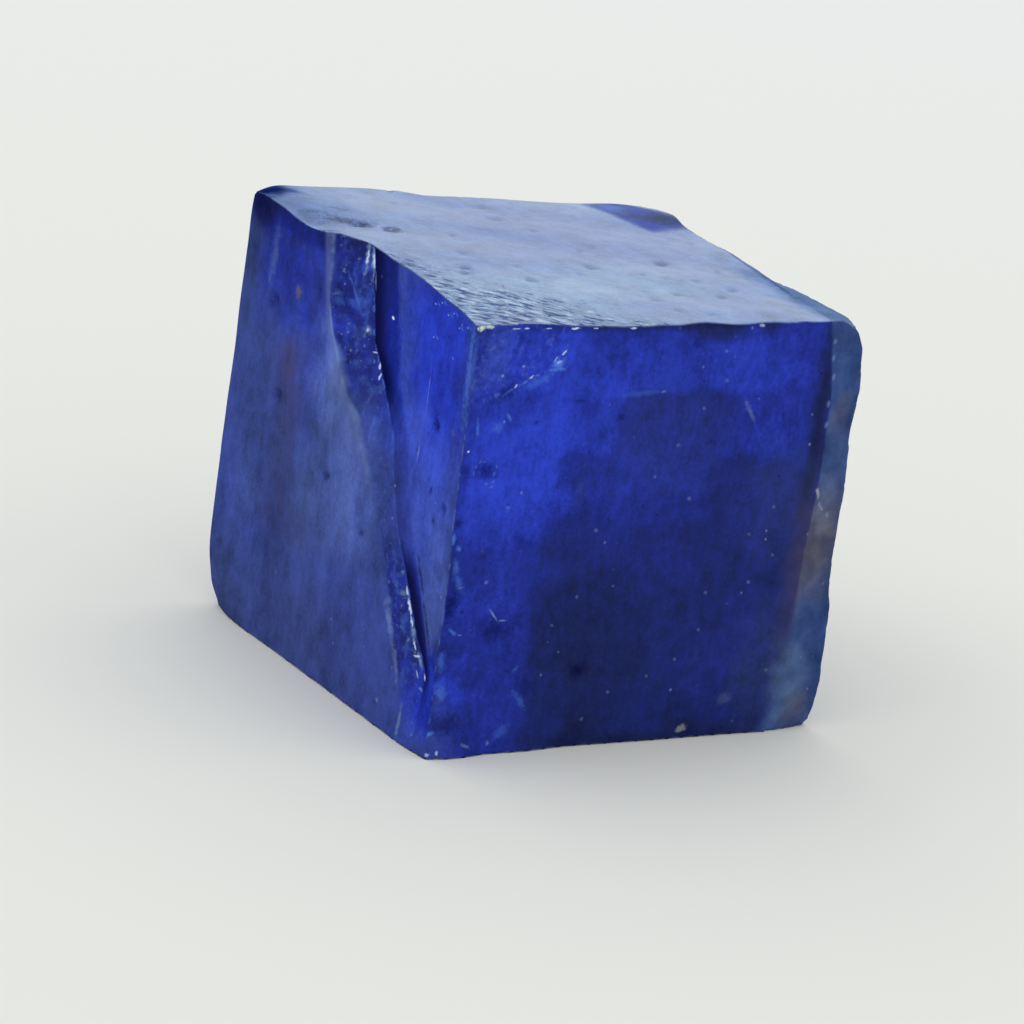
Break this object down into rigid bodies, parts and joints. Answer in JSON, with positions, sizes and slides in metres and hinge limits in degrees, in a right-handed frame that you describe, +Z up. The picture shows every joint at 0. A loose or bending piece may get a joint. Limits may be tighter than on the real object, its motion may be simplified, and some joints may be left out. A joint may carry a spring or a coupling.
{
  "type": "rough tanzanite crystal",
  "caption": "Rough block of deep blue crystal, nearly a cube, with fractured and naturally skinned sides; rests flat on its base.",
  "frame": {"origin": "middle of the bounding box, at the flat base", "axes": "+Z up from the base; -Y towards the glassy front; -X towards the side with the fracture channel"},
  "size_m": [0.0276, 0.0264, 0.0257],
  "materials": {
    "crystal": "cloudy deep violet-blue crystal, glassy on the fractured front, hazed on the left side and frosted on the natural skin"
  },
  "bodies": {
    "root": {"tanzanite": "crystal"}
  },
  "joints": []
}
